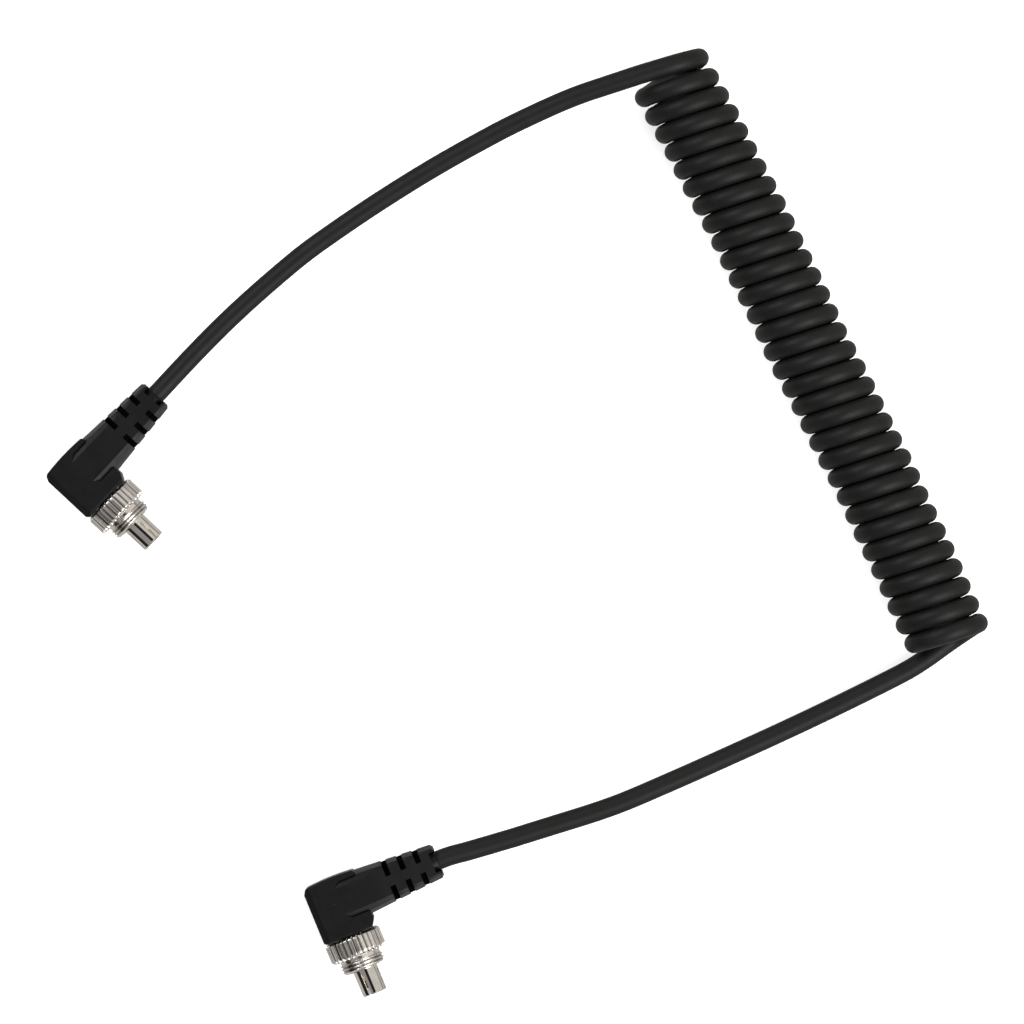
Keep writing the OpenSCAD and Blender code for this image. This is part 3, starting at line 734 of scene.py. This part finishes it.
def from_cad(node, name, width, segments, angle, reshape=None):
    """A finished copy of a CAD piece: the same surfaces with rounded edges."""
    mesh = frame["nodes"][node].data.copy()
    mesh.name = name
    mesh.materials.clear()
    with editing(mesh) as bm:
        bmesh.ops.remove_doubles(bm, verts=bm.verts, dist=2e-6)
        bmesh.ops.dissolve_limit(
            bm, angle_limit=math.radians(0.6), verts=bm.verts, edges=bm.edges
        )
    if reshape:
        plug = plug_frame(node[-1])
        mesh.transform(plug.inverted())
        reshape(mesh)
        mesh.transform(plug)
    o = link(bpy.data.objects.new(name, mesh))
    bevel = o.modifiers.new("b", "BEVEL")
    bevel.width = width * MM
    bevel.segments = segments
    bevel.limit_method = "ANGLE"
    bevel.angle_limit = math.radians(angle)
    bevel.use_clamp_overlap = True
    bevel.miter_outer = "MITER_ARC"
    depsgraph = bpy.context.evaluated_depsgraph_get()
    rounded = bpy.data.meshes.new_from_object(o.evaluated_get(depsgraph))
    o.modifiers.clear()
    o.data = rounded
    o.data.name = name
    with editing(o.data) as bm:
        bmesh.ops.dissolve_degenerate(bm, dist=1e-7, edges=bm.edges)
        shade_smooth(bm, 30)
    return o


def taper(head, end, y):
    return head + (end - head) * np.clip((y - HEAD_Y) / (BOOT_L - 0.35 - HEAD_Y), 0, 1)


def ease_flanks(mesh):
    """Lays the sleeve's bevels flatter, so that they catch light where they meet the head."""
    count = len(mesh.vertices)
    co = np.zeros(count * 3, np.float32)
    mesh.vertices.foreach_get("co", co)
    co = co.reshape(count, 3)
    x, y, z = co.T
    top = taper(HEAD_T, BOOT_T1, y)
    deep = top - np.abs(z)
    on_bevel = np.abs(deep - (np.abs(x) - taper(FLAT, FLAT1, y))) < 0.05
    on_bevel &= (y > -0.35) & (deep > 0.01) & (deep < 0.9)
    co[:, 2] = np.where(on_bevel, np.sign(z) * (top - FLANK_SLOPE * deep), z)
    mesh.vertices.foreach_set("co", co.ravel())
    mesh.update()


def slot_shade_faces(mesh, plug):
    """Faces down inside the strain relief slots take the second material, darker and duller:
    painted shade in the slots.
    """
    inverse = plug.inverted()
    for polygon in mesh.polygons:
        c = inverse @ polygon.center
        nearest = min(SLOTS - 1, max(0, round((c.y - SLOT_Y) / SLOT_PITCH)))
        in_slot = abs(c.y - SLOT_Y - nearest * SLOT_PITCH) < SLOT_W / 2 + 0.02
        if in_slot and abs(c.z) < taper(HEAD_T, BOOT_T1, c.y) - 0.12 and abs(c.x) > 0.74:
            polygon.material_index = 1


def mouth_nose(mesh, plug):
    """The soft nose of the sleeve that hugs the cable between the two lobes."""
    end = BOOT_L - 0.02
    # closed outline: y, radius
    outline = [
        (13.9, 1.375), (end - 0.03, 1.375), (end, 1.40), (end - 0.02, 1.46),
        (end - 0.12, 1.53), (end - 0.35, 1.60), (end - 0.70, 1.70), (13.9, 1.78),
    ]
    sides = 64
    angles = [2 * math.pi * k / sides for k in range(sides)]
    with editing(mesh) as bm:
        rows = [
            [bm.verts.new(plug @ Vector((r * math.sin(a), y, r * math.cos(a)))) for a in angles]
            for y, r in outline
        ]
        faces = []
        for here, beyond in zip(rows, rows[1:] + rows[:1]):
            for k in range(sides):
                k2 = (k + 1) % sides
                faces.append(bm.faces.new((here[k], here[k2], beyond[k2], beyond[k])))
        for face in faces:
            face.smooth = True
        bmesh.ops.recalc_face_normals(bm, faces=faces)
        for edge in {edge for face in faces for edge in face.edges}:
            edge.smooth = edge.calc_face_angle(0) < math.radians(40)


def round_shading(mesh, plug, radius):
    """Gives the turned surface of this radius the shading of a true cylinder."""
    inverse = plug.inverted()
    turn = plug.to_3x3().normalized()
    back = turn.inverted()
    normals = []
    for polygon in mesh.polygons:
        facing = back @ polygon.normal
        for i in polygon.loop_indices:
            c = inverse @ mesh.vertices[mesh.loops[i].vertex_index].co
            radial = Vector((0, c.y, c.z))
            if abs(radial.length - radius) < 0.02 and facing.dot(radial.normalized()) > 0.97:
                normals.append((turn @ radial.normalized())[:])
            else:
                normals.append((0.0, 0.0, 0.0))  # keeps the mesh's own normal
    mesh.normals_split_custom_set(normals)


# ---------------------------------------------------------------- plugs
# CAD pieces inside the plug that keep their meshes
INNER_PIECES = {
    "inner_mould": CORE, "barrel_insulator": INSULATOR_IN_SHADE, "centre_pin": GILT,
    "ground_lug": GILT, "crimp_ferrule": FERRULE, "pin_solder": SOLDER,
    "lug_solder": SOLDER, "retaining_clip": STEEL,
}


def give(o, *materials):
    o.data.materials.clear()
    for material in materials:
        o.data.materials.append(material)


def register(o, body, node):
    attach(o, body)
    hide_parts(node)


for letter in "ab":
    body = "plug_" + letter
    plug = plug_frame(letter)

    o = from_cad(
        "overmould_" + letter, "plug_moulding_" + letter,
        width=0.16, segments=3, angle=20, reshape=ease_flanks,
    )
    # the second material is painted shade for the slot faces
    give(o, MOULD, SLOT_SHADE)
    slot_shade_faces(o.data, plug)
    mouth_nose(o.data, plug)
    weighted = o.modifiers.new("wn", "WEIGHTED_NORMAL")
    weighted.keep_sharp = True
    weighted.weight = 90
    register(o, body, "overmould_" + letter)

    o = lock_ring("knurled_lock_ring_" + letter)
    o.data.transform(plug)
    o.data.update()
    give(o, NICKEL)
    register(o, "ring_" + letter, "lock_ring_" + letter)

    barrel = "contact_barrel_" + letter
    o = from_cad(barrel, "slotted_barrel_" + letter, width=0.035, segments=2, angle=30)
    round_shading(o.data, plug, BARREL_R)
    give(o, NICKEL_BARREL)
    register(o, body, barrel)

    for node, material in INNER_PIECES.items():
        give(frame["nodes"][node + "_" + letter], material)


# ---------------------------------------------------------------- stage, metres
def floor_material():
    s = Surface("studio_floor")
    cloud = s.noise(s.object_mm(), scale=0.02, detail=3)
    # a light table: it glows a little, which lifts the soft shadows
    s.set(
        Base_Color=s.ramp(cloud, (0.3, (0.90, 0.90, 0.90)), (0.7, (0.93, 0.93, 0.93))),
        Roughness=0.85,
        Specular_IOR_Level=0.2,
        Emission_Color=(1, 1, 1),
        Emission_Strength=0.50,
    )
    # painted reflection: glossy rays see the floor as a dim emission instead of its lit surface, so
    # polished pieces mirror a darker room beyond the lit table, darkest at low angles
    incoming = s.node("NewGeometry").outputs["Incoming"]
    height = s.node("SeparateXYZ", {0: incoming}).outputs[2]
    steep = s.remap(height, (0.07, 0.15), (0.0, 1.0))
    room = s.mix(steep, (0.03, 0.03, 0.03), (0.58, 0.565, 0.545))
    dim = s.node("Emission", {"Color": room})
    glossy = s.node("LightPath").outputs["Is Glossy Ray"]
    shader = s.node("MixShader", {0: glossy, 1: s.bsdf.outputs[0], 2: dim.outputs[0]})
    s.feed(s.output, {0: shader.outputs[0]})
    return s.material


FLOOR_HALF, FLOOR_Z = 1.6, -0.00005
corners = [(-1, -1), (1, -1), (1, 1), (-1, 1)]
mesh = bpy.data.meshes.new("floor")
mesh.from_pydata(
    [(x * FLOOR_HALF, y * FLOOR_HALF, FLOOR_Z) for x, y in corners], [], [(0, 1, 2, 3)]
)
floor = link(bpy.data.objects.new("floor", mesh))
floor.data.materials.append(floor_material())


def build_world():
    """A pale room: warm and bright on one side and dimmer on the other.

    It is dark low down on the dim side and straight overhead.
    """
    dim_side = math.radians(-85.0)
    world = bpy.data.worlds.new("studio")
    scene.world = world
    world.use_nodes = True
    w = Graph(world.node_tree)
    coords = w.node("TexCoord").outputs["Generated"]
    x, y, z = w.node("SeparateXYZ", {0: coords}).outputs
    toward_dim = w.math(
        "ADD",
        w.math("MULTIPLY", x, math.cos(dim_side)),
        w.math("MULTIPLY", y, math.sin(dim_side)),
    )
    dimming = w.remap(toward_dim, (0.0, 0.22), (0.0, 1.0))
    sky = w.mix(dimming, (0.86, 0.84, 0.81), (0.40, 0.385, 0.40))
    side = w.remap(toward_dim, (0.30, 0.62), (0.0, 1.0))
    low = w.remap(z, (0.44, 0.54), (1.0, 0.0))
    sky = w.mix(w.math("MULTIPLY", side, low), sky, (0.020, 0.019, 0.018))
    overhead = w.remap(z, (0.972, 0.982), (0.0, 1.0))
    sky = w.mix(overhead, sky, (0.02, 0.02, 0.02))
    w.feed(world.node_tree.nodes["Background"], {"Color": sky, "Strength": 0.85})


build_world()

view_right = Vector((math.cos(VIEW_TURN), math.sin(VIEW_TURN), 0))
view_up = Vector((-math.sin(VIEW_TURN), math.cos(VIEW_TURN), 0))
centre = Vector((VIEW_MID[0] * MM, VIEW_MID[1] * MM, 0.0))
LIGHT_DISTANCE = 0.95


def softbox(name, azimuth, elevation, size, power):
    """A square light aimed at the centre; azimuth is from the picture's right, in degrees."""
    a, e = math.radians(azimuth), math.radians(elevation)
    level = view_right * math.cos(a) + view_up * math.sin(a)
    direction = level * math.cos(e) + Vector((0, 0, math.sin(e)))
    light = bpy.data.lights.new(name, "AREA")
    light.energy = power
    light.size = size
    o = link(bpy.data.objects.new(name, light))
    place = centre + direction * LIGHT_DISTANCE
    o.location = place
    o.rotation_euler = (centre - place).to_track_quat("-Z", "Y").to_euler()


softbox("key", azimuth=-38, elevation=42, size=0.70, power=9.5)
softbox("fill", azimuth=142, elevation=44, size=0.50, power=4.5)

# the camera looks straight down; VIEW_WIDTH is what it sees across at SUBJECT_Z
SENSOR, CAMERA_DISTANCE, VIEW_WIDTH, SUBJECT_Z = 36.0, 1.5, 0.1428, 0.005
camera_data = bpy.data.cameras.new("camera")
camera_data.lens = SENSOR * CAMERA_DISTANCE / VIEW_WIDTH
camera_data.sensor_width = SENSOR
camera_data.clip_end = 20
camera = link(bpy.data.objects.new("camera", camera_data))
camera.location = centre + Vector((0, 0, CAMERA_DISTANCE + SUBJECT_Z))
camera.rotation_euler = (0, 0, VIEW_TURN)
scene.camera = camera
scene.view_settings.view_transform = "Standard"
scene.view_settings.look = "None"
